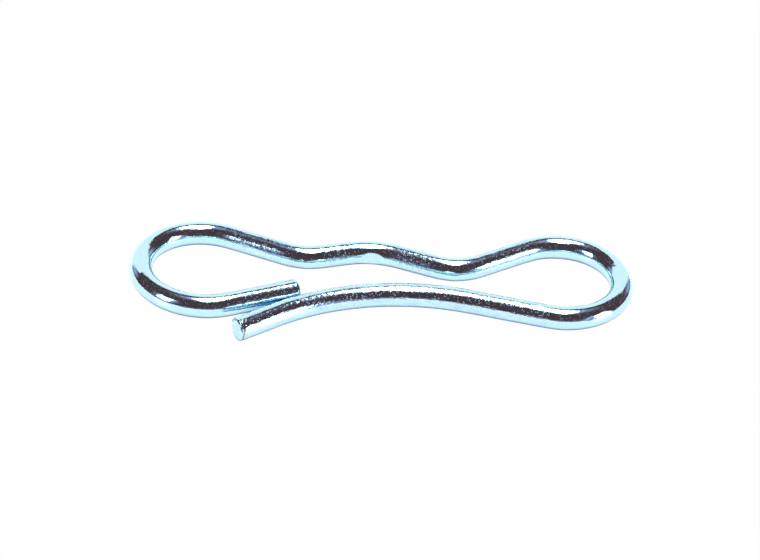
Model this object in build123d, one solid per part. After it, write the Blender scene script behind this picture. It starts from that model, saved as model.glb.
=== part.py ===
from build123d import *

from dataclasses import dataclass
from math import asin, atan2, cos, degrees, hypot, pi, radians, sin, sqrt, tan
import os

# A bow tie cotter pin: one round spring wire, bent in one plane into two end loops,
# a wavy back with a saddle for the shaft, a long leg for the shaft's cross hole and a
# short leg that closes the left loop.
# Millimetres and degrees. The pin lies flat on z = 0 with its back towards +Y.
# X is measured from midway between the two loops and heights from the right loop's
# centre. Sizes are those of the wire's centre line, and angles are steepness from X.

# Wire, and the shaft that the pin goes on
WIRE_DIAMETER = 2.38
SHAFT_DIAMETER = 12.7

# End loops, and the straights that come down from them to the valleys
LOOP_SPACING = 35.8
LEFT_LOOP_RADIUS = 6.3
LEFT_LOOP_ANGLE = 24.5
RIGHT_LOOP_RADIUS = 6.15
RIGHT_LOOP_ANGLE = 31.1

# Saddle, and the straights that come down from it to the valleys
SADDLE_X = -1.25
SADDLE_HEIGHT = 4.0
SADDLE_LEFT_ANGLE = 16.0
SADDLE_RIGHT_ANGLE = 22.0

# Valleys, each one rounding the corner between a loop's straight and the saddle's
LEFT_VALLEY_RADIUS = 5.05
RIGHT_VALLEY_RADIUS = 4.6

# Long leg. Relaxed, it lies nearer to the saddle than the shaft's centre by the preload
LEG_PRELOAD = 0.1
LEG_STRAIGHT_RUN = 8.0
LEG_ARCH_RADIUS = 23.5
LEG_TIP_ANGLE = 35.0
LEG_TIP_RUN = 4.6

# Short leg, which stops just clear of the long one
SHORT_LEG_ANGLE = 21.6
SHORT_LEG_RUN = 7.55
LEG_GAP = 0.2

# Cropped ends. The long leg's is oblique and the short one's is square
LONG_LEG_CUT = 11.0
SHORT_LEG_CUT = 0.0
END_ROUNDING = 0.25

# Notch that the forming pin pressed into the inside of the saddle, a little off its crest
NOTCH_OFFSET = 0.3
NOTCH_RADIUS = 2.2
NOTCH_DEPTH = 0.2

# Which way a bend turns the wire
LEFT = 1
RIGHT = -1

# Headings of the straights, along the wire from the long leg to the short one
TIP_HEADING = radians(LEG_TIP_ANGLE)
RIGHT_LOOP_HEADING = pi + radians(RIGHT_LOOP_ANGLE)
SADDLE_RIGHT_HEADING = pi - radians(SADDLE_RIGHT_ANGLE)
SADDLE_LEFT_HEADING = pi + radians(SADDLE_LEFT_ANGLE)
LEFT_LOOP_HEADING = pi - radians(LEFT_LOOP_ANGLE)
SHORT_LEG_HEADING = radians(SHORT_LEG_ANGLE)


def along(heading):
    return Vector(cos(heading), sin(heading))


def right_of(heading):
    return Vector(sin(heading), -cos(heading))


@dataclass
class Bend:
    """A bend of the wire's centre line, with its centre, radius and the way it turns."""

    centre: Vector
    radius: float
    side: int

    def touch(self, heading):
        """The point of the bend where the wire runs at this heading."""
        return self.centre + right_of(heading) * (self.side * self.radius)


def saddle():
    """The bend that hugs the shaft, so its centre is the shaft's centre."""
    radius = (SHAFT_DIAMETER + WIRE_DIAMETER) / 2
    return Bend(Vector(SADDLE_X, SADDLE_HEIGHT - radius), radius, LEFT)


def right_loop():
    return Bend(Vector(LOOP_SPACING / 2, 0), RIGHT_LOOP_RADIUS, LEFT)


def left_loop(arch):
    """The loop at the height where the short leg's end is the gap away from the long leg."""
    x = -LOOP_SPACING / 2
    to_leg_end = right_of(SHORT_LEG_HEADING) * LEFT_LOOP_RADIUS + along(SHORT_LEG_HEADING) * SHORT_LEG_RUN
    clear = arch.radius + WIRE_DIAMETER + LEG_GAP
    leg_end_height = arch.centre.Y + sqrt(clear**2 - (x + to_leg_end.X - arch.centre.X) ** 2)
    return Bend(Vector(x, leg_end_height - to_leg_end.Y), LEFT_LOOP_RADIUS, LEFT)


def leg_arch(shaft, loop):
    """The long leg's arch, which passes by the shaft's centre and then runs straight to the loop."""
    passing = shaft.centre + Vector(0, LEG_PRELOAD)
    way = loop.centre - passing
    reach = hypot(LEG_ARCH_RADIUS + loop.radius, LEG_STRAIGHT_RUN)
    across = (way.length**2 + LEG_ARCH_RADIUS**2 - reach**2) / (2 * way.length)
    down = sqrt(LEG_ARCH_RADIUS**2 - across**2)
    bearing = atan2(way.Y, way.X)
    return Bend(passing + along(bearing) * across + right_of(bearing) * down, LEG_ARCH_RADIUS, RIGHT)


def straight_heading(first, second):
    """Heading of the straight that leaves the first bend and joins the second."""
    way = second.centre - first.centre
    offset = second.side * second.radius - first.side * first.radius
    return atan2(way.Y, way.X) - asin(offset / way.length)


def valley(first, first_heading, second, second_heading, radius):
    """The bend that joins the straight from the first bend with the one to the second."""
    start = first.touch(first_heading) + right_of(first_heading) * radius
    end = second.touch(second_heading) + right_of(second_heading) * radius
    run = (end - start).dot(right_of(second_heading)) / along(first_heading).dot(right_of(second_heading))
    return Bend(start + along(first_heading) * run, radius, RIGHT)


def bends_and_headings():
    """The bends from the long leg to the short one, and the wire's headings round them."""
    shaft = saddle()
    right = right_loop()
    arch = leg_arch(shaft, right)
    left = left_loop(arch)
    right_valley = valley(right, RIGHT_LOOP_HEADING, shaft, SADDLE_RIGHT_HEADING, RIGHT_VALLEY_RADIUS)
    left_valley = valley(shaft, SADDLE_LEFT_HEADING, left, LEFT_LOOP_HEADING, LEFT_VALLEY_RADIUS)

    bends = [arch, right, right_valley, shaft, left_valley, left]
    headings = [
        TIP_HEADING,
        straight_heading(arch, right),
        RIGHT_LOOP_HEADING,
        SADDLE_RIGHT_HEADING,
        SADDLE_LEFT_HEADING,
        LEFT_LOOP_HEADING,
        SHORT_LEG_HEADING,
    ]
    return bends, headings


def wire_section(start, forwards):
    return Plane(origin=start, z_dir=forwards) * Circle(WIRE_DIAMETER / 2)


def bent_wire(bends, headings):
    """The wire between its two straight legs."""
    edges = []
    for bend, before, after in zip(bends, headings, headings[1:]):
        if edges:
            edges.append(Line(edges[-1] @ 1, bend.touch(before)))
        turn = degrees((after - before) * bend.side % (2 * pi)) * bend.side
        edges.append(JernArc(bend.touch(before), along(before), bend.radius, turn))
    path = Wire(edges)
    return sweep(wire_section(path @ 0, path % 0), path=path)


def leg_end(start, outwards, run, cut_angle):
    """A straight leg, cropped at an angle, with the edge of the cut rounded."""
    spare = WIRE_DIAMETER * (1 + tan(radians(cut_angle)))
    blank = extrude(wire_section(start, outwards), amount=run + spare)
    cut = Plane(origin=start + outwards * run, z_dir=outwards.rotate(Axis.Z, -cut_angle))
    leg = split(blank, bisect_by=cut, keep=Keep.BOTTOM)
    return fillet(leg.faces().sort_by(Axis(start, outwards))[-1].edges(), END_ROUNDING)


def forming_pin(shaft):
    """The pin that presses the notch into the side of the saddle that faces the shaft."""
    height = shaft.centre.Y + SHAFT_DIAMETER / 2 + NOTCH_DEPTH - NOTCH_RADIUS
    return Pos(shaft.centre.X + NOTCH_OFFSET, height) * Cylinder(NOTCH_RADIUS, 2 * WIRE_DIAMETER)


def cotter_pin():
    bends, headings = bends_and_headings()
    long_leg = leg_end(bends[0].touch(headings[0]), -along(headings[0]), LEG_TIP_RUN, LONG_LEG_CUT)
    short_leg = leg_end(bends[-1].touch(headings[-1]), along(headings[-1]), SHORT_LEG_RUN, SHORT_LEG_CUT)
    pin = bent_wire(bends, headings) + long_leg + short_leg - forming_pin(saddle())

    # The origin is under the middle of the pin's outline, where it lies
    box = pin.bounding_box()
    return Pos(-box.center().X, -box.center().Y, -box.min.Z) * pin


os.makedirs("parts", exist_ok=True)
export_step(cotter_pin(), "parts/bow_tie_cotter_pin.step")
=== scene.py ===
from dataclasses import dataclass
from math import asin, atan2, cos, hypot, pi, radians, sin, sqrt, tan

import bpy
import numpy as np
from bpy.props import FloatProperty, FloatVectorProperty, PointerProperty
from bpy.types import Operator, Panel, PropertyGroup
from mathutils import Matrix, Vector


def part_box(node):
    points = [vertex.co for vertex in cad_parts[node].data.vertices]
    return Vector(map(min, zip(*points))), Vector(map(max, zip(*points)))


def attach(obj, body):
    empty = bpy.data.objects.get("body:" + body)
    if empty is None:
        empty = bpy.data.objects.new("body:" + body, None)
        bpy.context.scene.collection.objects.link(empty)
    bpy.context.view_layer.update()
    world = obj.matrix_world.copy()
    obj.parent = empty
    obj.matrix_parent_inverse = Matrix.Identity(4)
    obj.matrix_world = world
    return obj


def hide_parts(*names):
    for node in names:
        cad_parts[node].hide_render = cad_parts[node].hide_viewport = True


bl_info = {
    "name": "Bow Tie Cotter Pin",
    "version": (1, 0, 0),
    "blender": (4, 5, 0),
    "location": "View3D > Sidebar > Cotter Pin",
    "description": "Bends a zinc plated bow tie cotter pin and sets up the studio that it lies in",
    "category": "Add Mesh",
}

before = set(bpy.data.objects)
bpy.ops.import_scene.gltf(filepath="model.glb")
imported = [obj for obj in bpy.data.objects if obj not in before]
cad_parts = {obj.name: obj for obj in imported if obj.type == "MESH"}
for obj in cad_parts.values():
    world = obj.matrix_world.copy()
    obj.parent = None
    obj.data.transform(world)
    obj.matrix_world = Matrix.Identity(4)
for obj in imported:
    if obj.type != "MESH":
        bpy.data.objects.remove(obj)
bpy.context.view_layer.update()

MM = 0.001
NODE = "bow_tie_cotter_pin"

# The mesh's rings along the wire, its points round it, and its steps across an end's face
RING_STEP = 0.12 * MM
END_RING_STEP = 0.035 * MM
END_STRETCH = 0.9 * MM
POINTS_ROUND = 80
FACE_STEPS = 9

# How far from an oblique cut the rings lean to it
LEAN_REACH = 2.5 * MM

# Steps of the eased line, and how many easings it looks to each side
EASING_STEP = 0.02 * MM
EASING_REACH = 4

# Numbers of these stretches of the wire, counted from the long leg's tip
RIGHT_LOOP, RIGHT_VALLEY, SADDLE, LEFT_VALLEY, LEFT_LOOP, SHORT_LEG = 3, 5, 7, 9, 11, 12

# Which way a bend turns the wire
LEFT = 1
RIGHT = -1


def length(name, description, default):
    return FloatProperty(name=name, description=description, default=default, unit="LENGTH", precision=5)


def angle(name, description, default):
    return FloatProperty(name=name, description=description, default=radians(default), subtype="ANGLE")


def factor(name, description, default):
    return FloatProperty(name=name, description=description, default=default, min=0, max=1, subtype="FACTOR")


def strength(name, description, default):
    return FloatProperty(name=name, description=description, default=default, min=0)


def colour(name, description, default):
    return FloatVectorProperty(
        name=name, description=description, default=default, size=3, min=0, max=1, subtype="COLOR"
    )


class PinSizes(PropertyGroup):
    """Sizes of the bent wire's centre line, the same as in the solid model."""

    wire_diameter: length("Wire", "Diameter of the wire", 2.38 * MM)
    shaft_diameter: length("Shaft", "Diameter of the shaft that the saddle hugs", 12.7 * MM)
    loop_spacing: length("Loop spacing", "Distance between the centres of the two loops", 35.8 * MM)
    left_loop_radius: length("Left loop", "Radius of the left loop", 6.3 * MM)
    left_loop_angle: angle("Left loop slope", "Steepness of the straight from the left loop", 24.5)
    right_loop_radius: length("Right loop", "Radius of the right loop", 6.15 * MM)
    right_loop_angle: angle("Right loop slope", "Steepness of the straight from the right loop", 31.1)
    saddle_x: length("Saddle place", "Place of the saddle's crest from midway between the loops", -1.25 * MM)
    saddle_height: length("Saddle height", "Height of the saddle's crest over the loops' centres", 4.0 * MM)
    saddle_left_angle: angle("Saddle left slope", "Steepness of the straight left of the saddle", 16.0)
    saddle_right_angle: angle("Saddle right slope", "Steepness of the straight right of the saddle", 22.0)
    left_valley_radius: length("Left valley", "Radius of the bend left of the saddle", 5.05 * MM)
    right_valley_radius: length("Right valley", "Radius of the bend right of the saddle", 4.6 * MM)
    leg_preload: length("Preload", "How far over the shaft's centre the leg lies", 0.1 * MM)
    leg_straight_run: length("Leg straight", "Straight between the right loop and the arch", 8.0 * MM)
    leg_arch_radius: length("Leg arch", "Radius of the long leg's arch", 23.5 * MM)
    leg_tip_angle: angle("Tip slope", "Steepness of the long leg's tip", 35.0)
    leg_tip_run: length("Tip run", "Length of the long leg's straight tip", 4.6 * MM)
    short_leg_angle: angle("Short leg slope", "Steepness of the short leg", 21.6)
    short_leg_run: length("Short leg run", "Length of the short leg", 7.55 * MM)
    leg_gap: length("Leg gap", "Gap between the short leg's end and the long leg", 0.2 * MM)
    long_leg_cut: angle("Long leg cut", "How oblique the long leg's cropped end is", 11.0)
    short_leg_cut: angle("Short leg cut", "How oblique the short leg's cropped end is", 0.0)
    end_rounding: length("End rounding", "Rounding of the cropped ends' edges", 0.25 * MM)
    notch_offset: length("Notch offset", "Place of the saddle's notch from its crest", 0.3 * MM)
    notch_radius: length("Notch radius", "Radius of the forming pin that presses the notch", 2.2 * MM)
    notch_depth: length("Notch depth", "Depth of the notch", 0.2 * MM)


class FormingMarks(PropertyGroup):
    """Marks that the drawing, bending and cropping leave on the wire."""

    skin: length("Skin", "How far the visible surface stays inside the solid one", 0.004 * MM)
    waviness: length("Waviness", "Height of the slow waves along the drawn wire", 0.004 * MM)
    easing: length("Easing", "How gradually each bend runs into its straights", 0.6 * MM)
    ridge_height: length("Valley ridge", "Height of the ridge outside each valley's bend", 0.05 * MM)
    long_tip_lip: length("Long tip lip", "Depth of the groove behind the long tip's rolled lip", 0.07 * MM)
    short_tip_roll: length("Short tip roll", "Extra rounding of the short leg's end", 0.1 * MM)
    burnish_fade: length("Burnish fade", "Length over which the burnish of a bend fades away", 1.2 * MM)


class ZincFinish(PropertyGroup):
    """Colours and texture of the bright zinc plating, with the painted shade in close gaps and beside the
    long tip's groove.
    """

    zinc: colour("Zinc", "Colour of the plating with its pale blue passivation", (0.62, 0.93, 1.0))
    lilac: colour("Lilac", "Colour of the streaks of thicker passivation", (0.36, 0.43, 0.95))
    # Painted shade: the colour that the plating is darkened to where the other leg or the floor is near, and
    # how near that is
    painted_gap_shade: colour("Deep blue", "Colour of the plating in close gaps", (0.12, 0.3, 0.6))
    painted_shade_reach: length("Gap reach", "How near the other side of such a gap is", 1.7 * MM)
    # Painted shade: the dark colour painted beside the long tip's groove
    painted_groove_shade: colour("Steel", "Colour of the bare steel that the cropping tool scraped", (0.05, 0.06, 0.08))
    lilac_share: factor("Lilac share", "How strongly those streaks lean to lilac", 0.3)
    nodule: colour("Nodules", "Colour of the plating's sparse nodules", (0.56, 0.62, 0.95))
    roughness: factor("Roughness", "Roughness of the bright plating", 0.07)
    dull_roughness: factor("Dull roughness", "Roughness of its duller streaks", 0.15)
    nodule_roughness: factor("Nodule roughness", "Roughness of the plating's nodules", 0.42)
    drawing_line_depth: length("Drawing lines", "Depth of the fine lines along the wire", 0.006 * MM)
    grain_depth: length("Grain", "Depth of the plating's grain", 0.025 * MM)
    grain_size: length("Grain size", "Size of one grain of the plating", 0.24 * MM)
    nodule_spacing: length("Nodule spacing", "Distance between neighbouring nodules", 0.19 * MM)
    burnish: factor("Burnish", "How much smoother the burnished bends are", 0.66)


class StudioSettings(PropertyGroup):
    """Floor, backdrop, dark room, lamps and camera."""

    floor: colour("Floor", "Colour of the floor and backdrop", (0.94, 0.94, 0.94))
    room: colour("Room", "Colour of the unlit room, as the wire mirrors it", (0.085, 0.042, 0.048))
    # Painted light: the colour that the room glows in, low in front and beside the panels
    room_painted_light: colour("Room glow", "Colour of the room low in front and beside the panels", (0.5, 0.5, 0.8))
    backdrop_distance: length("Backdrop distance", "Distance of the backdrop behind the pin", 0.7)
    backdrop_left: length("Backdrop left", "Reach of the backdrop to the left", 0.76)
    backdrop_right: length("Backdrop right", "Reach of the backdrop to the right", 0.62)
    backdrop_height: length("Backdrop height", "Height of the backdrop", 0.69)
    softbox_brightness: strength("Softbox", "Brightness of the softbox overhead", 4.5)
    side_brightness: strength("Side panels", "Brightness of the two panels beside the camera", 2.4)
    sky: strength("Sky", "Brightness of the plain light from all sides", 0.55)
    floor_sheen: factor("Floor sheen", "How much the floor mirrors the lamps at a flat angle", 0.9)
    camera_elevation: angle("Camera elevation", "Height of the camera over the horizon", 35.416)
    camera_azimuth: angle("Camera azimuth", "Turn of the camera round the pin", -4.554)
    camera_roll: angle("Camera roll", "Roll of the camera about its line of sight", -4.717)
    camera_distance: length("Camera distance", "Distance from the camera to the pin's middle", 0.4061)
    camera_lens: FloatProperty(name="Lens", description="Focal length", default=192.36, unit="CAMERA")


# The wire's centre line

@dataclass
class Bend:
    """A bend of the wire's centre line, with its centre, radius and the way it turns."""

    centre: np.ndarray
    radius: float
    side: int

    def touch(self, heading):
        return self.centre + right_of(heading) * (self.side * self.radius)


@dataclass
class Stretch:
    """A straight or an arc of the centre line, from its place along the wire."""

    begin: float
    start: np.ndarray
    heading: float
    length: float
    turning: float

    def at(self, places):
        """Points at these places along the wire."""
        run = places - self.begin
        if self.turning == 0:
            return self.start + run[:, None] * along(self.heading)
        heading = self.heading + self.turning * run
        centre = self.start - right_of(self.heading) / self.turning
        return centre + np.stack([np.sin(heading), -np.cos(heading)], 1) / self.turning


def along(heading):
    return np.array((cos(heading), sin(heading)))


def right_of(heading):
    return np.array((sin(heading), -cos(heading)))


def leg_arch(sizes, shaft, loop):
    """The long leg's arch, which passes by the shaft's centre and then runs straight to the loop."""
    passing = shaft.centre + np.array((0, sizes.leg_preload))
    way = loop.centre - passing
    apart = hypot(*way)
    radius = sizes.leg_arch_radius
    reach = hypot(radius + loop.radius, sizes.leg_straight_run)
    across = (apart**2 + radius**2 - reach**2) / (2 * apart)
    bearing = atan2(way[1], way[0])
    down = sqrt(radius**2 - across**2)
    return Bend(passing + along(bearing) * across + right_of(bearing) * down, radius, RIGHT)


def left_loop(sizes, arch):
    """The loop at the height where the short leg's end is the gap away from the long leg."""
    x = -sizes.loop_spacing / 2
    heading = sizes.short_leg_angle
    to_leg_end = right_of(heading) * sizes.left_loop_radius + along(heading) * sizes.short_leg_run
    clear = arch.radius + sizes.wire_diameter + sizes.leg_gap
    height = arch.centre[1] + sqrt(clear**2 - (x + to_leg_end[0] - arch.centre[0]) ** 2)
    return Bend(np.array((x, height - to_leg_end[1])), sizes.left_loop_radius, LEFT)


def straight_heading(first, second):
    way = second.centre - first.centre
    offset = second.side * second.radius - first.side * first.radius
    return atan2(way[1], way[0]) - asin(offset / hypot(*way))


def valley(first, first_heading, second, second_heading, radius):
    """The bend that joins the straight from the first bend with the one to the second."""
    start = first.touch(first_heading) + right_of(first_heading) * radius
    end = second.touch(second_heading) + right_of(second_heading) * radius
    sideways = right_of(second_heading)
    run = (end - start) @ sideways / (along(first_heading) @ sideways)
    return Bend(start + along(first_heading) * run, radius, RIGHT)


def bends_and_headings(sizes):
    """The bends from the long leg to the short one, and the wire's headings round them."""
    radius = (sizes.shaft_diameter + sizes.wire_diameter) / 2
    shaft = Bend(np.array((sizes.saddle_x, sizes.saddle_height - radius)), radius, LEFT)
    right = Bend(np.array((sizes.loop_spacing / 2, 0)), sizes.right_loop_radius, LEFT)
    arch = leg_arch(sizes, shaft, right)
    left = left_loop(sizes, arch)
    from_right = pi + sizes.right_loop_angle
    to_saddle = pi - sizes.saddle_right_angle
    from_saddle = pi + sizes.saddle_left_angle
    to_left = pi - sizes.left_loop_angle
    right_valley = valley(right, from_right, shaft, to_saddle, sizes.right_valley_radius)
    left_valley = valley(shaft, from_saddle, left, to_left, sizes.left_valley_radius)
    bends = [arch, right, right_valley, shaft, left_valley, left]
    headings = [sizes.leg_tip_angle, straight_heading(arch, right)]
    headings += [from_right, to_saddle, from_saddle, to_left, sizes.short_leg_angle]
    return bends, headings


def centre_line(sizes):
    """The wire's stretches from the long leg's tip to the short leg's end."""
    bends, headings = bends_and_headings(sizes)
    tip = bends[0].touch(headings[0]) - along(headings[0]) * sizes.leg_tip_run
    stretches = [Stretch(0.0, tip, headings[0], sizes.leg_tip_run, 0.0)]

    def add(start, heading, run, turning):
        last = stretches[-1]
        stretches.append(Stretch(last.begin + last.length, start, heading, run, turning))

    for number, (bend, before, after) in enumerate(zip(bends, headings, headings[1:])):
        turn = (after - before) * bend.side % (2 * pi)
        add(bend.touch(before), before, turn * bend.radius, bend.side / bend.radius)
        start = bend.touch(after)
        if number < len(bends) - 1:
            add(start, after, hypot(*(bends[number + 1].touch(after) - start)), 0.0)
    add(start, headings[-1], sizes.short_leg_run, 0.0)
    return stretches


def trace(stretches, places):
    """Points of the centre line at these places along the wire, also past its ends."""
    begins = np.array([stretch.begin for stretch in stretches])
    which = np.clip(np.searchsorted(begins, places, side="right") - 1, 0, len(stretches) - 1)
    points = np.zeros((len(places), 2))
    for number, stretch in enumerate(stretches):
        here = which == number
        points[here] = stretch.at(places[here])
    return points


class EasedLine:
    """The centre line with its bends eased into the straights, as springy wire takes them."""

    def __init__(self, stretches, easing):
        self.total = stretches[-1].begin + stretches[-1].length
        reach = np.arange(-EASING_REACH * easing, EASING_REACH * easing, EASING_STEP)
        weights = np.exp(-((reach / easing) ** 2) / 2)
        weights /= weights.sum()
        margin = len(weights) * EASING_STEP
        places = np.arange(-margin, self.total + margin, EASING_STEP)
        points = trace(stretches, places)
        eased = np.stack([np.convolve(points[:, axis], weights, "same") for axis in (0, 1)], 1)
        steps = np.gradient(eased, axis=0)
        kept = slice(len(weights), -len(weights))
        self.places = places[kept]
        self.points = eased[kept]
        self.headings = np.unwrap(np.arctan2(steps[:, 1], steps[:, 0]))[kept]

    def at(self, places):
        """Points and headings at these places along the wire."""
        inside = np.clip(places, self.places[0], self.places[-1])
        headings = np.interp(inside, self.places, self.headings)
        points = np.stack([np.interp(inside, self.places, self.points[:, axis]) for axis in (0, 1)], 1)
        past = (places - inside)[:, None]
        return points + past * np.stack([np.cos(headings), np.sin(headings)], 1), headings


# The wire's surface

# Lengths in millimetres of the drawn wire's slow waves, with their lobes round the wire
SLOW_WAVES = ((9.0, 1), (5.3, 2), (3.1, 1), (2.3, 3), (1.7, 2), (1.2, 4), (0.9, 3))
WAVE_SEED = 7

# Longer waves are taller, by this power of their length. A sum of this size gives the full height
WAVE_GROWTH = 0.7
FULL_WAVE = 6


def ring_places(total):
    """Places of the mesh's rings along the wire, closer together at the two ends."""
    ends = np.arange(0, END_STRETCH, END_RING_STEP)
    middle = np.linspace(END_STRETCH, total - END_STRETCH, round((total - 2 * END_STRETCH) / RING_STEP))
    return np.concatenate([ends, middle, total - ends[::-1]])


def bell(distance, half_width):
    return np.exp(-((distance / half_width) ** 2))


def turned(first, second):
    """Angle between two directions round the wire, from -pi to pi."""
    return (first - second + pi) % (2 * pi) - pi


def place_on(stretch, heading):
    """Place along the wire where a bend reaches this heading."""
    return stretch.begin + (heading - stretch.heading) / stretch.turning % abs(2 * pi / stretch.turning)


def slow_waves(place, round_angle, height):
    """The drawn wire's slow waves, the same every time."""
    waves = np.zeros(np.broadcast(place, round_angle).shape)
    numbers = np.random.default_rng(WAVE_SEED)
    for wave_length, lobes in SLOW_WAVES:
        phase = numbers.uniform(0, 2 * pi, 2)
        wave = np.sin(2 * pi * place / (wave_length * MM) + phase[0])
        waves += wave_length**WAVE_GROWTH * wave * np.cos(lobes * round_angle + phase[1])
    return height * np.clip(waves / FULL_WAVE, -1, 1)


@dataclass
class Mark:
    """A small bump, or with a negative height a dent, at a place along the wire and an angle round it."""

    place: float
    turn: float
    half_length: float
    half_width: float
    height: float

    def rise(self, place, round_angle, radius):
        lengthwise = bell(place - self.place, self.half_length)
        sideways = bell(turned(round_angle, radians(self.turn)) * radius, self.half_width)
        return self.height * lengthwise * sideways


# Marks that handling left on this pin, in millimetres from the long tip and degrees round the wire
HANDLING_MARKS = (
    Mark(0.62, 52, 0.16, 0.22, -0.09),
    Mark(0.50, 75, 0.14, 0.18, 0.03),
    Mark(7.15, 64, 0.10, 0.10, 0.05),
    Mark(8.80, -22, 0.14, 0.12, -0.03),
    Mark(32.2, 76, 0.60, 0.09, -0.03),
    Mark(36.7, 25, 0.22, 0.10, -0.04),
    Mark(38.1, -3, 0.10, 0.14, -0.05),
    Mark(38.7, -12, 0.16, 0.10, -0.04),
    Mark(66.7, 63, 0.10, 0.30, -0.03),
    Mark(67.1, 67, 0.10, 0.25, -0.03),
    Mark(67.6, 60, 0.08, 0.22, -0.03),
    Mark(80.2, -172, 0.12, 0.16, -0.04),
    Mark(94.6, 123, 0.08, 0.10, 0.015),
    Mark(106.4, -30, 0.12, 0.10, -0.03),
)


@dataclass
class Patch:
    """A patch of the surface that fades away from its middle, with its angles in degrees."""

    turn: float
    half_turn: float
    half_length: float

    def share(self, off, round_angle):
        """How strong the patch is that far along the wire from its middle, from 0 to 1."""
        sideways = bell(turned(round_angle, radians(self.turn)), radians(self.half_turn))
        return bell(off, self.half_length) * sideways


# The ridge outside each valley's bend
VALLEY_RIDGE = Patch(200, 30, 0.55 * MM)

# The groove behind the long tip's lip, and beside it a wavy line of painted shade, whose place and sway are
# in millimetres
LIP_GROOVE = Patch(28, 60, 0.1 * MM)
LIP_GROOVE_PLACE = 0.36 * MM
PAINTED_SHADE_LINE = Patch(-8, 55, 0.075 * MM)
PAINTED_SHADE_LINE_PLACE = 0.30
PAINTED_SHADE_LINE_SWAY = 0.05
PAINTED_SHADE_LINE_WAVES = 4

# How much more the sharper side of an oblique cut is rounded
SHARP_SIDE = 1.6

# How far round the wire the notch reaches, as the cosine of the angle from the shaft's side
NOTCH_FACING = 0.2

# How much the bending tools burnished each stretch, and how steeply that fades at its ends
BURNISHED = {
    RIGHT_LOOP: 1.0,
    RIGHT_VALLEY: 1.0,
    SADDLE: 1.0,
    LEFT_VALLEY: 1.0,
    LEFT_LOOP: 1.0,
    SHORT_LEG: 0.7,
}
BURNISH_STEEPNESS = 4


def notched(place, round_angle, surface, sizes, crest):
    """The surface with the forming pin's notch in the side of the saddle that faces the shaft."""
    inside = sizes.shaft_diameter / (sizes.shaft_diameter + sizes.wire_diameter)
    off = (place - crest) * inside + sizes.notch_offset
    sharper = 1 / sizes.notch_radius - 2 / sizes.shaft_diameter
    depth = sizes.notch_depth - off**2 * sharper / 2
    facing = np.cos(turned(round_angle, pi))
    limit = (sizes.wire_diameter / 2 - depth) / np.maximum(facing, NOTCH_FACING)
    return np.where((facing > NOTCH_FACING) & (depth > 0), np.minimum(surface, limit), surface)


def formed_radius(place, round_angle, sizes, marks, stretches):
    """Distance from the centre line to the surface, with the forming and handling marks in it."""
    radius = sizes.wire_diameter / 2 - marks.skin
    surface = radius - marks.waviness + slow_waves(place, round_angle, marks.waviness)
    for number in (RIGHT_VALLEY, LEFT_VALLEY):
        crest = place_on(stretches[number], pi)
        surface = surface + marks.ridge_height * VALLEY_RIDGE.share(place - crest, round_angle)
    for mark in HANDLING_MARKS:
        surface = surface + MM * mark.rise(place / MM, round_angle, radius / MM)
    surface = surface - marks.long_tip_lip * LIP_GROOVE.share(place - LIP_GROOVE_PLACE, round_angle)
    return notched(place, round_angle, surface, sizes, place_on(stretches[SADDLE], pi))


def rounded(to_end, round_angle, rounding, cut_angle):
    """How far an end's rounding draws the surface in, which is more at the sharper side of the cut."""
    reach = rounding * (1 + SHARP_SIDE * tan(cut_angle) * np.cos(round_angle))
    into = np.clip(reach - to_end, 0, reach)
    return reach - np.sqrt(reach**2 - into**2)


def groove_shade_share(place, round_angle):
    """Where the wire is painted dark beside the long tip's lip, as painted shade of its groove, from 0 to 1.
    """
    line = (PAINTED_SHADE_LINE_PLACE + PAINTED_SHADE_LINE_SWAY * np.sin(PAINTED_SHADE_LINE_WAVES * round_angle)) * MM
    return PAINTED_SHADE_LINE.share(place - line, round_angle)


def worked_share(place, stretches, fade):
    """How much the bending tools burnished the wire there, from 0 to 1."""
    share = np.zeros(place.shape)
    for number, amount in BURNISHED.items():
        bend = stretches[number]
        inside = np.minimum(place - bend.begin, bend.begin + bend.length - place)
        share = np.maximum(share, amount / (1 + np.exp(-BURNISH_STEEPNESS * inside / fade)))
    return share


def wire_surface(sizes, marks, stretches, total):
    """Angles of a ring's points, and each point's place along the wire, radius and share of painted groove
    shade.
    """
    places = ring_places(total)
    angles = -pi / 2 + np.arange(POINTS_ROUND) * 2 * pi / POINTS_ROUND
    place, round_angle = np.meshgrid(places, angles, indexing="ij")
    surface = formed_radius(place, round_angle, sizes, marks, stretches)
    surface = surface - rounded(place, round_angle, sizes.end_rounding, sizes.long_leg_cut)
    short_rounding = sizes.end_rounding + marks.short_tip_roll
    surface = surface - rounded(total - place, round_angle, short_rounding, sizes.short_leg_cut)
    groove_shade = np.pad(groove_shade_share(place, round_angle), ((FACE_STEPS - 1, FACE_STEPS - 1), (0, 0)))

    # The rings near the two ends lean to the cuts
    lean = np.clip(1 - place / LEAN_REACH, 0, 1) * tan(sizes.long_leg_cut)
    lean = lean + np.clip(1 - (total - place) / LEAN_REACH, 0, 1) * tan(sizes.short_leg_cut)
    place = place - lean * np.cos(round_angle) * surface

    # Faces of the two ends, as rings that shrink towards their middles
    shrink = np.linspace(0, 1, FACE_STEPS + 1)[1:-1, None]
    first, last = place[0] * shrink, total + (place[-1] - total) * shrink[::-1]
    place = np.concatenate([first, place, last])
    surface = np.concatenate([surface[0] * shrink, surface, surface[-1] * shrink[::-1]])
    return angles, place, surface, groove_shade


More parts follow.
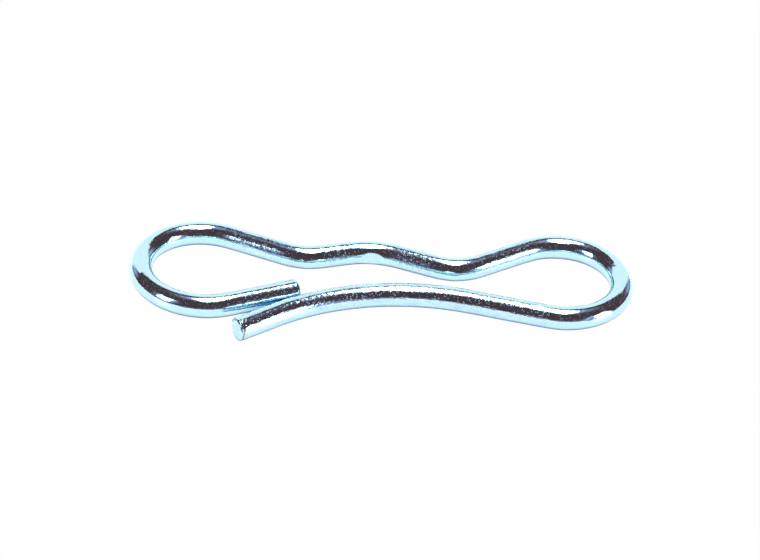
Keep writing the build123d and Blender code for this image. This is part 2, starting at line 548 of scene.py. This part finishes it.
def wire_faces(rings):
    """Quads between the rings, and the two fans that close the ends round their middle points."""
    ring, step = np.meshgrid(np.arange(rings - 1), np.arange(POINTS_ROUND), indexing="ij")
    ring, step = ring.ravel(), step.ravel()
    after = (step + 1) % POINTS_ROUND
    quads = np.column_stack([
        ring * POINTS_ROUND + step,
        (ring + 1) * POINTS_ROUND + step,
        (ring + 1) * POINTS_ROUND + after,
        ring * POINTS_ROUND + after,
    ])
    around = np.arange(POINTS_ROUND)
    onward = (around + 1) % POINTS_ROUND
    last = (rings - 1) * POINTS_ROUND
    middle = rings * POINTS_ROUND
    first_fan = np.column_stack([around, onward, np.full(POINTS_ROUND, middle)])
    last_fan = np.column_stack([last + onward, last + around, np.full(POINTS_ROUND, middle + 1)])
    return quads, np.concatenate([first_fan, last_fan])


def map_wire(mesh, quads, fans, share):
    """Lays a map along the wire and once round it, with its seam underneath."""
    step = quads[:, 0] % POINTS_ROUND
    across = np.column_stack([step, step, step + 1, step + 1]) / POINTS_ROUND
    on_ring = fans < len(share)
    fan_down = np.where(on_ring, share[np.minimum(fans, len(share) - 1)], 0.0)
    fan_across = np.where(on_ring, fans % POINTS_ROUND / POINTS_ROUND, 0.5)
    corners = np.concatenate([
        np.stack([share[quads], across], -1).reshape(-1, 2),
        np.stack([fan_down, fan_across], -1).reshape(-1, 2),
    ])
    layer = mesh.uv_layers.new(name="along_and_round")
    layer.data.foreach_set("uv", corners.astype(np.float32).ravel())


def wire_mesh(name, sizes, marks):
    stretches = centre_line(sizes)
    line = EasedLine(stretches, marks.easing)
    angles, place, surface, groove_shade = wire_surface(sizes, marks, stretches, line.total)
    rings = len(place)
    place, surface = place.ravel(), surface.ravel()

    points, headings = line.at(place)
    turn = np.tile(angles, rings)
    out = np.stack([np.sin(headings), -np.cos(headings)], 1) * (surface * np.cos(turn))[:, None]
    middles, _ = line.at(np.array([0, line.total]))
    vertices = np.concatenate([
        np.column_stack([points + out, surface * np.sin(turn)]),
        np.column_stack([middles, [0, 0]]),
    ])
    quads, fans = wire_faces(rings)
    mesh = bpy.data.meshes.new(name)
    mesh.from_pydata(vertices, [], quads.tolist() + fans.tolist())
    mesh.shade_smooth()
    map_wire(mesh, quads, fans, place / line.total)
    mesh.validate()

    worked = worked_share(place, stretches, marks.burnish_fade)
    for layer, shares in (("burnish", worked), ("groove_shade", groove_shade.ravel())):
        values = mesh.attributes.new(layer, "FLOAT", "POINT")
        values.data.foreach_set("value", np.append(shares, [0, 0]).astype(np.float32))
    return mesh


def plan_origin(sizes):
    """Where the plan's origin lies in the frame, from the solid's box and the loops that fill it."""
    low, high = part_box(NODE)
    bends, _ = bends_and_headings(sizes)
    left, right = bends[-1], bends[1]
    middle = (left.centre[0] - left.radius + right.centre[0] + right.radius) / 2
    top = left.centre[1] + left.radius + sizes.wire_diameter / 2
    return Vector(((low[0] + high[0]) / 2 - middle, high[1] - top, (low[2] + high[2]) / 2))


# Materials

# Sockets of a Mix node that mixes colours
FIRST_COLOUR, SECOND_COLOUR, MIXED_COLOUR = 6, 7, 2

# How often each texture repeats in a millimetre along the wire and round it
STREAK_SCALE = (0.6, 2.6, 1)
CROWD_SCALE = (0.25, 0.5, 1)
LINE_SCALE = (0.5, 7.0, 1)
GRAIN_STRETCH = (0.6, 1, 1)

# The values between which each of these fades in
STREAK_FADE = (0.5, 0.66)
NODULE_FADE = (0.48, 0.12)
CROWD_FADE = (1.0, 1.4)
PAINTED_SHADE_FADE = (0.6, 0.1)
CONTACT_FADE = (0.3, 0.9)

# How much less metallic a nodule is than the bright plating
NODULE_DULLNESS = 0.8

# The floor's gloss, which shows in the wire at a flat angle
SHEEN_IOR = 1.8
SHEEN_ROUGHNESS = 0.2


class Nodes:
    """A short way to add and join a material's nodes."""

    def __init__(self, tree):
        self.tree = tree
        tree.nodes.clear()

    def add(self, kind, **settings):
        node = self.tree.nodes.new(kind)
        for name, value in settings.items():
            setattr(node, name, value)
        return node

    def link(self, start, end):
        self.tree.links.new(start, end)

    def feed(self, socket, value):
        """Joins another node's socket to this one, or sets this one to a plain value."""
        if isinstance(value, bpy.types.NodeSocket):
            self.link(value, socket)
        else:
            socket.default_value = value

    def maths(self, operation, *values):
        node = self.add("ShaderNodeMath", operation=operation)
        for socket, value in zip(node.inputs, values):
            self.feed(socket, value)
        return node.outputs[0]

    def times(self, first, second):
        return self.maths("MULTIPLY", first, second)

    def ramp(self, value, low, high, start=0.0, end=1.0):
        """The value from low to high, brought to between start and end."""
        node = self.add("ShaderNodeMapRange")
        for name, number in (("From Min", low), ("From Max", high), ("To Min", start), ("To Max", end)):
            node.inputs[name].default_value = number
        self.link(value, node.inputs["Value"])
        return node.outputs["Result"]

    def noise(self, where, scale, detail, roughness):
        node = self.add("ShaderNodeTexNoise")
        node.inputs["Scale"].default_value = scale
        node.inputs["Detail"].default_value = detail
        node.inputs["Roughness"].default_value = roughness
        self.link(where, node.inputs["Vector"])
        return node.outputs["Fac"]

    def stretch(self, where, scale):
        node = self.add("ShaderNodeMapping")
        node.inputs["Scale"].default_value = scale
        self.link(where, node.inputs["Vector"])
        return node.outputs["Vector"]

    def split(self, where):
        """The X, Y and Z of a place."""
        node = self.add("ShaderNodeSeparateXYZ")
        self.link(where, node.inputs["Vector"])
        return node.outputs

    def blend(self, share, first, second):
        """A mix of two colours, of which the first may come from another node."""
        node = self.add("ShaderNodeMix", data_type="RGBA")
        self.link(share, node.inputs["Factor"])
        if not isinstance(first, bpy.types.NodeSocket):
            first = (*first, 1)
        self.feed(node.inputs[FIRST_COLOUR], first)
        node.inputs[SECOND_COLOUR].default_value = (*second, 1)
        return node.outputs[MIXED_COLOUR]

    def bump(self, height, depth, before=None):
        node = self.add("ShaderNodeBump")
        node.inputs["Strength"].default_value = 1.0
        node.inputs["Distance"].default_value = depth
        self.link(height, node.inputs["Height"])
        if before is not None:
            self.link(before, node.inputs["Normal"])
        return node.outputs["Normal"]

    def glow(self, tone=(1, 1, 1, 1)):
        """A plain light of that colour, which may come from another node, at a strength of 1."""
        node = self.add("ShaderNodeEmission")
        node.inputs["Strength"].default_value = 1.0
        self.feed(node.inputs["Color"], tone)
        return node.outputs[0]

    def shader_mix(self, share, first, second):
        """A mix of two shaders, of which the first may be none."""
        node = self.add("ShaderNodeMixShader")
        self.link(share, node.inputs["Fac"])
        if first is not None:
            self.link(first, node.inputs[1])
        self.link(second, node.inputs[2])
        return node.outputs[0]


def new_material(name):
    material = bpy.data.materials.new(name)
    material.use_nodes = True
    return material, Nodes(material.node_tree)


def nodule_share(nodes, finish, on_wire, in_space):
    """Sparse nodules that stand out of the grain, more of them in some places, from 0 to 1."""
    cells = nodes.add("ShaderNodeTexVoronoi")
    cells.inputs["Scale"].default_value = MM / finish.nodule_spacing
    nodes.link(in_space, cells.inputs["Vector"])
    spots = nodes.ramp(cells.outputs["Distance"], *NODULE_FADE)
    chosen = nodes.add("ShaderNodeSeparateColor")
    nodes.link(cells.outputs["Color"], chosen.inputs["Color"])
    crowds = nodes.noise(nodes.stretch(on_wire, CROWD_SCALE), 1.0, detail=1, roughness=0.5)
    crowded = nodes.maths("ADD", chosen.outputs["Red"], crowds)
    return nodes.times(spots, nodes.ramp(crowded, *CROWD_FADE))


def zinc_material(finish, wire_length, girth):
    """Bright zinc plating over drawn wire: fine lines along it, grain, and patches of blue and lilac, with
    painted shade near other surfaces and beside the long tip's groove.
    """
    material, nodes = new_material("bright_zinc")
    output = nodes.add("ShaderNodeOutputMaterial")
    metal = nodes.add("ShaderNodeBsdfPrincipled")
    nodes.link(metal.outputs["BSDF"], output.inputs["Surface"])

    # The textures are laid out in millimetres, and the burnished bends show less of them
    where = nodes.add("ShaderNodeTexCoord")
    on_wire = nodes.stretch(where.outputs["UV"], (wire_length / MM, girth / MM, 1))
    in_space = nodes.stretch(where.outputs["Object"], (1 / MM, 1 / MM, 1 / MM))
    burnish = nodes.add("ShaderNodeAttribute", attribute_name="burnish")
    coarse = nodes.maths("MULTIPLY_ADD", burnish.outputs["Fac"], -finish.burnish, 1.0)

    # Streaks of thicker, duller passivation run along the wire
    streaks = nodes.noise(nodes.stretch(on_wire, STREAK_SCALE), 1.0, detail=5, roughness=0.68)
    streaks = nodes.times(nodes.ramp(streaks, *STREAK_FADE), coarse)
    tint = nodes.blend(nodes.times(streaks, finish.lilac_share), finish.zinc, finish.lilac)

    # Painted shade: where the other leg or the floor is near, the colour is painted a deeper blue, for the
    # shade of a close gap where the light bounces more than once off the pale blue plating
    near = nodes.add("ShaderNodeAmbientOcclusion", samples=6)
    near.inputs["Distance"].default_value = finish.painted_shade_reach
    tint = nodes.blend(nodes.ramp(near.outputs["AO"], *PAINTED_SHADE_FADE), tint, finish.painted_gap_shade)

    nodules = nodes.times(nodule_share(nodes, finish, on_wire, in_space), coarse)
    # Beside the long tip's groove the colour is painted dark, as painted shade
    groove_shade = nodes.add("ShaderNodeAttribute", attribute_name="groove_shade")
    plated = nodes.blend(nodules, tint, finish.nodule)
    nodes.link(nodes.blend(groove_shade.outputs["Fac"], plated, finish.painted_groove_shade), metal.inputs["Base Color"])
    nodes.link(nodes.maths("MULTIPLY_ADD", nodules, -NODULE_DULLNESS, 1.0), metal.inputs["Metallic"])

    roughness = nodes.add("ShaderNodeMix", data_type="FLOAT")
    dull = nodes.ramp(streaks, 0.0, 1.0, finish.roughness, finish.dull_roughness)
    nodes.link(nodules, roughness.inputs["Factor"])
    nodes.link(dull, roughness.inputs["A"])
    roughness.inputs["B"].default_value = finish.nodule_roughness
    nodes.link(roughness.outputs["Result"], metal.inputs["Roughness"])

    lines = nodes.noise(nodes.stretch(on_wire, LINE_SCALE), 1.0, detail=3, roughness=0.6)
    grain_scale = MM / finish.grain_size
    grain = nodes.noise(nodes.stretch(on_wire, GRAIN_STRETCH), grain_scale, detail=2, roughness=0.5)
    normal = nodes.bump(nodes.times(lines, coarse), finish.drawing_line_depth)
    normal = nodes.bump(nodes.times(grain, coarse), finish.grain_depth, normal)
    nodes.link(normal, metal.inputs["Normal"])
    return material


def mirrored_share(nodes, ray):
    """1 for light that the wire or glass mirrors or lets through, and 0 for the rest."""
    return nodes.maths("MAXIMUM", ray.outputs["Is Glossy Ray"], ray.outputs["Is Transmission Ray"])


def sides_fade(nodes, west, east, width):
    """A share that falls from 1 to 0 over that width at a sheet's two sides."""
    where = nodes.add("ShaderNodeNewGeometry")
    x = nodes.split(where.outputs["Position"])["X"]
    return nodes.times(nodes.ramp(x, west, west + width), nodes.ramp(x, east, east - width))


def pale_material(name, tone, seen_glow, mirrored_glow, sheen=0.0, contact=0.0, sides=None):
    """A pale studio surface that is white where it is seen, and keeps the pin's shadow, also in the wire."""
    material, nodes = new_material(name)
    output = nodes.add("ShaderNodeOutputMaterial")
    paper = nodes.add("ShaderNodeBsdfDiffuse")
    paper.inputs["Color"].default_value = (*tone, 1)
    ray = nodes.add("ShaderNodeLightPath")
    mirrored = mirrored_share(nodes, ray)
    glowing = mirrored
    if contact > 0:
        under = nodes.add("ShaderNodeAmbientOcclusion", samples=4)
        under.inputs["Distance"].default_value = contact
        glowing = nodes.times(mirrored, nodes.ramp(under.outputs["AO"], *CONTACT_FADE))
    seen = nodes.times(ray.outputs["Is Camera Ray"], seen_glow)
    share = nodes.maths("MULTIPLY_ADD", glowing, mirrored_glow, seen)
    surface = nodes.shader_mix(share, paper.outputs[0], nodes.glow())

    # At a flat angle it mirrors the lamps a little, on top of its own white
    if sheen > 0:
        gloss = nodes.add("ShaderNodeBsdfGlossy")
        gloss.inputs["Roughness"].default_value = SHEEN_ROUGHNESS
        flat = nodes.add("ShaderNodeFresnel")
        flat.inputs["IOR"].default_value = SHEEN_IOR
        shine = nodes.times(nodes.times(flat.outputs[0], mirrored), sheen)
        both = nodes.add("ShaderNodeAddShader")
        nodes.link(surface, both.inputs[0])
        nodes.link(nodes.shader_mix(shine, None, gloss.outputs[0]), both.inputs[1])
        surface = both.outputs[0]

    # In the wire its two sides fade into the room
    if sides is not None:
        clear = nodes.add("ShaderNodeBsdfTransparent")
        gone = nodes.maths("SUBTRACT", 1.0, sides_fade(nodes, *sides))
        surface = nodes.shader_mix(nodes.times(mirrored, gone), surface, clear.outputs[0])
    nodes.link(surface, output.inputs["Surface"])
    return material


# The studio

FLOOR_HALF = 3.0

# How much of the floor's white is its own where it is seen and where it is mirrored. The rest is lit,
# and so is all that is mirrored this near to the wire, which darkens it there
FLOOR_SEEN_GLOW = 0.985
FLOOR_MIRRORED_GLOW = 0.98
FLOOR_CONTACT = 0.7 * MM

# Over this width the wire sees the backdrop's two sides fade away
BACKDROP_FADE_WIDTH = 0.14

# The room's painted low glow grows from the top to the foot of this band over the horizon, and from the
# room's middle to this share of the way to its front
ROOM_RADIUS = 2.4
LOW_GLOW_TOP = radians(13)
LOW_GLOW_FOOT = radians(1)
FRONT_GLOW_SHARE = 0.4


@dataclass
class Spill:
    """Painted light on the room round a lamp or beside the backdrop, by angles in degrees seen from the pin.
    """

    azimuth: float
    elevation: float
    core: float
    reach: float
    brightness: float


SPILLS = (
    Spill(211, 28, 12, 24, 0.6),
    Spill(-40, 4, 6, 27, 1.0),
    Spill(69, 78, 10, 27, 0.7),
    Spill(140, 14, 3, 17, 0.9),
    Spill(42, 14, 3, 17, 0.9),
)

# Places and sizes of the lamps. The panels' directions are azimuth and elevation in degrees
SOFTBOX_PLACE = (0.039, 0.08, 0.5)
SOFTBOX_SIZE = (0.185, 0.41)
PANEL_DISTANCE = 0.8
LEFT_PANEL_DIRECTION = (208.5, 28)
LEFT_PANEL_SIZE = (0.285, 0.42)
RIGHT_PANEL_DIRECTION = (-26, 15)
RIGHT_PANEL_SIZE = (0.35, 0.42)
RIGHT_PANEL_LEAN = radians(18)

# How far right and up of the camera's line of sight the middle of the picture is, in its pixels
PICTURE_RIGHT = -2.60
PICTURE_UP = -4.20
PICTURE_WIDTH = 760
SENSOR_WIDTH = 36
NEAREST_SEEN, FURTHEST_SEEN = 0.01, 20


def from_pin(azimuth, elevation, distance):
    """A place seen from the pin, by degrees of azimuth from +X towards +Y and of elevation."""
    turn, rise = radians(azimuth), radians(elevation)
    flat = cos(rise) * distance
    return Vector((flat * cos(turn), flat * sin(turn), sin(rise) * distance))


def room_material(tone, glow):
    """A dark dome with painted light: it glows lighter low in front and where the lamps' light spills,
    though it is no lamp.
    """
    material, nodes = new_material("unlit_room")
    output = nodes.add("ShaderNodeOutputMaterial")
    where = nodes.add("ShaderNodeNewGeometry")
    at = nodes.split(where.outputs["Position"])
    low = nodes.ramp(at["Z"], ROOM_RADIUS * sin(LOW_GLOW_TOP), ROOM_RADIUS * sin(LOW_GLOW_FOOT))
    share = nodes.times(nodes.times(low, low), nodes.ramp(at["Y"], 0.0, -FRONT_GLOW_SHARE * ROOM_RADIUS))
    for spill in SPILLS:
        apart = nodes.add("ShaderNodeVectorMath", operation="DOT_PRODUCT")
        nodes.link(where.outputs["Position"], apart.inputs[0])
        apart.inputs[1].default_value = from_pin(spill.azimuth, spill.elevation, 1.0) / ROOM_RADIUS
        near = nodes.ramp(apart.outputs["Value"], cos(radians(spill.reach)), cos(radians(spill.core)))
        share = nodes.maths("MAXIMUM", share, nodes.times(nodes.times(near, near), spill.brightness))
    nodes.link(nodes.glow(nodes.blend(share, tone, glow)), output.inputs["Surface"])
    return material


def place_object(name, data):
    old = bpy.data.objects.get(name)
    if old is not None:
        bpy.data.objects.remove(old)
    placed = bpy.data.objects.new(name, data)
    bpy.context.scene.collection.objects.link(placed)
    return placed


def sheet(name, corners, material):
    """A flat sheet between four corners."""
    mesh = bpy.data.meshes.new(name)
    mesh.from_pydata(corners, [], [(0, 1, 2, 3)])
    mesh.materials.append(material)
    return place_object(name, mesh)


def lay_floor(studio):
    half = FLOOR_HALF
    corners = [(-half, -half, 0), (half, -half, 0), (half, half, 0), (-half, half, 0)]
    paper = pale_material(
        "floor_paper", studio.floor, FLOOR_SEEN_GLOW, FLOOR_MIRRORED_GLOW, studio.floor_sheen, FLOOR_CONTACT
    )
    return sheet("floor", corners, paper)


def hang_backdrop(studio):
    west, east = -studio.backdrop_left, studio.backdrop_right
    back, high = studio.backdrop_distance, studio.backdrop_height
    corners = [(west, back, 0), (east, back, 0), (east, back, high), (west, back, high)]
    sides = (west, east, BACKDROP_FADE_WIDTH)
    paper = pale_material("backdrop_paper", studio.floor, 1.0, 1.0, sides=sides)
    return sheet("backdrop", corners, paper)


def dome_mesh(name, radius, steps=48, rises=16):
    vertices, faces = [], []
    for rise in range(rises + 1):
        up = rise / rises * pi / 2
        for step in range(steps):
            turn = step / steps * 2 * pi
            vertices.append((radius * cos(up) * cos(turn), radius * cos(up) * sin(turn), radius * sin(up)))
    for rise in range(rises):
        for step in range(steps):
            after = (step + 1) % steps
            low, high = rise * steps, (rise + 1) * steps
            faces.append((low + step, high + step, high + after, low + after))
    mesh = bpy.data.meshes.new(name)
    mesh.from_pydata(vertices, [], faces)
    return mesh


def build_room(studio):
    """The dark room round the pin, which only the wire mirrors."""
    room = place_object("room", dome_mesh("room", ROOM_RADIUS))
    room.data.materials.append(room_material(studio.room, studio.room_painted_light))
    room.visible_camera = room.visible_diffuse = room.visible_shadow = False
    return room


def soft_lamp(name, place, size, brightness, shape="RECTANGLE"):
    """A lamp that faces the pin."""
    lamp = bpy.data.lights.new(name, "AREA")
    lamp.shape = shape
    lamp.size, lamp.size_y = size
    area = lamp.size * lamp.size_y * (pi / 4 if shape == "ELLIPSE" else 1)
    lamp.energy = brightness * pi * area
    placed = place_object(name, lamp)
    placed.location = place
    placed.rotation_euler = Vector(place).to_track_quat("Z", "Y").to_euler()
    placed.visible_camera = False
    return placed


def hang_lamps(studio):
    """A level softbox overhead, and a panel at each side of the camera."""
    softbox = soft_lamp("softbox", SOFTBOX_PLACE, SOFTBOX_SIZE, studio.softbox_brightness, "ELLIPSE")
    softbox.rotation_euler = (0, 0, 0)
    left = from_pin(*LEFT_PANEL_DIRECTION, PANEL_DISTANCE)
    soft_lamp("left_panel", left, LEFT_PANEL_SIZE, studio.side_brightness)
    right = from_pin(*RIGHT_PANEL_DIRECTION, PANEL_DISTANCE)
    panel = soft_lamp("right_panel", right, RIGHT_PANEL_SIZE, studio.side_brightness)
    panel.rotation_euler.rotate_axis("Z", RIGHT_PANEL_LEAN)


def plain_sky(brightness):
    """A sky that is white where it is seen or mirrored, and a plain grey light elsewhere."""
    world = bpy.data.worlds.new("sky")
    world.use_nodes = True
    nodes = Nodes(world.node_tree)
    output = nodes.add("ShaderNodeOutputWorld")
    sky = nodes.add("ShaderNodeBackground")
    sky.inputs["Color"].default_value = (1, 1, 1, 1)
    ray = nodes.add("ShaderNodeLightPath")
    white = nodes.maths("MAXIMUM", ray.outputs["Is Camera Ray"], mirrored_share(nodes, ray))
    nodes.link(nodes.ramp(white, 0.0, 1.0, brightness, 1.0), sky.inputs["Strength"])
    nodes.link(sky.outputs[0], output.inputs["Surface"])
    return world


class COTTERPIN_OT_wire(Operator):
    """Bend the zinc plated wire in place of the solid one"""

    bl_idname = "cotterpin.wire"
    bl_label = "Bend Wire"
    bl_options = {"REGISTER", "UNDO"}

    def execute(self, context):
        scene = context.scene
        sizes, marks = scene.cotterpin_sizes, scene.cotterpin_marks
        wire = place_object("zinc_wire", wire_mesh("zinc_wire", sizes, marks))
        wire.data.transform(Matrix.Translation(plan_origin(sizes)))
        last = centre_line(sizes)[-1]
        material = zinc_material(scene.cotterpin_finish, last.begin + last.length, pi * sizes.wire_diameter)
        wire.data.materials.append(material)
        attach(wire, "root")
        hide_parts(NODE)
        return {"FINISHED"}


class COTTERPIN_OT_stage(Operator):
    """Lay the floor, hang the backdrop and set up the room, the lamps and the sky"""

    bl_idname = "cotterpin.stage"
    bl_label = "Set Up Stage"
    bl_options = {"REGISTER", "UNDO"}

    def execute(self, context):
        scene = context.scene
        studio = scene.cotterpin_studio
        floor = lay_floor(studio)
        backdrop = hang_backdrop(studio)
        room = build_room(studio)
        hang_lamps(studio)
        scene.world = plain_sky(studio.sky)
        scene.view_settings.view_transform = "Standard"
        return {"FINISHED"}


class COTTERPIN_OT_camera(Operator):
    """Aim the camera at the pin from the front and above"""

    bl_idname = "cotterpin.camera"
    bl_label = "Aim Camera"
    bl_options = {"REGISTER", "UNDO"}

    def execute(self, context):
        studio = context.scene.cotterpin_studio
        turn, elevation, roll = -studio.camera_azimuth, studio.camera_elevation, studio.camera_roll
        forwards = Vector((sin(turn) * cos(elevation), cos(turn) * cos(elevation), -sin(elevation)))
        right = Vector((cos(turn), -sin(turn), 0))
        up = Vector((sin(turn) * sin(elevation), cos(turn) * sin(elevation), cos(elevation)))
        rolled_right = right * cos(roll) - up * sin(roll)
        rolled_up = right * sin(roll) + up * cos(roll)
        aim = plan_origin(context.scene.cotterpin_sizes)

        lens = bpy.data.cameras.new("camera")
        lens.lens = studio.camera_lens
        lens.sensor_width = SENSOR_WIDTH
        lens.shift_x = PICTURE_RIGHT / PICTURE_WIDTH
        lens.shift_y = PICTURE_UP / PICTURE_WIDTH
        lens.clip_start, lens.clip_end = NEAREST_SEEN, FURTHEST_SEEN
        camera = place_object("camera", lens)
        place = Matrix((rolled_right, rolled_up, -forwards)).transposed().to_4x4()
        place.translation = aim - forwards * studio.camera_distance
        camera.matrix_world = place
        context.scene.camera = camera
        return {"FINISHED"}


class COTTERPIN_PT_panel(Panel):
    """Lists the pin's settings and the steps that build it"""

    bl_idname = "COTTERPIN_PT_panel"
    bl_label = "Bow Tie Cotter Pin"
    bl_space_type = "VIEW_3D"
    bl_region_type = "UI"
    bl_category = "Cotter Pin"

    def draw(self, context):
        scene = context.scene
        for title, settings, step in (
            ("Sizes", scene.cotterpin_sizes, None),
            ("Forming marks", scene.cotterpin_marks, None),
            ("Finish", scene.cotterpin_finish, COTTERPIN_OT_wire),
            ("Studio", scene.cotterpin_studio, COTTERPIN_OT_stage),
        ):
            box = self.layout.box()
            box.label(text=title)
            for name in settings.bl_rna.properties.keys():
                if name not in ("rna_type", "name"):
                    box.prop(settings, name)
            if step is not None:
                box.operator(step.bl_idname)
        self.layout.operator(COTTERPIN_OT_camera.bl_idname)


CLASSES = (
    PinSizes,
    FormingMarks,
    ZincFinish,
    StudioSettings,
    COTTERPIN_OT_wire,
    COTTERPIN_OT_stage,
    COTTERPIN_OT_camera,
    COTTERPIN_PT_panel,
)


def register():
    for item in CLASSES:
        bpy.utils.register_class(item)
    bpy.types.Scene.cotterpin_sizes = PointerProperty(type=PinSizes)
    bpy.types.Scene.cotterpin_marks = PointerProperty(type=FormingMarks)
    bpy.types.Scene.cotterpin_finish = PointerProperty(type=ZincFinish)
    bpy.types.Scene.cotterpin_studio = PointerProperty(type=StudioSettings)


def unregister():
    del bpy.types.Scene.cotterpin_studio
    del bpy.types.Scene.cotterpin_finish
    del bpy.types.Scene.cotterpin_marks
    del bpy.types.Scene.cotterpin_sizes
    for item in reversed(CLASSES):
        bpy.utils.unregister_class(item)


def main():
    register()
    bpy.ops.cotterpin.wire()
    bpy.ops.cotterpin.stage()
    bpy.ops.cotterpin.camera()


if __name__ == "__main__":
    main()
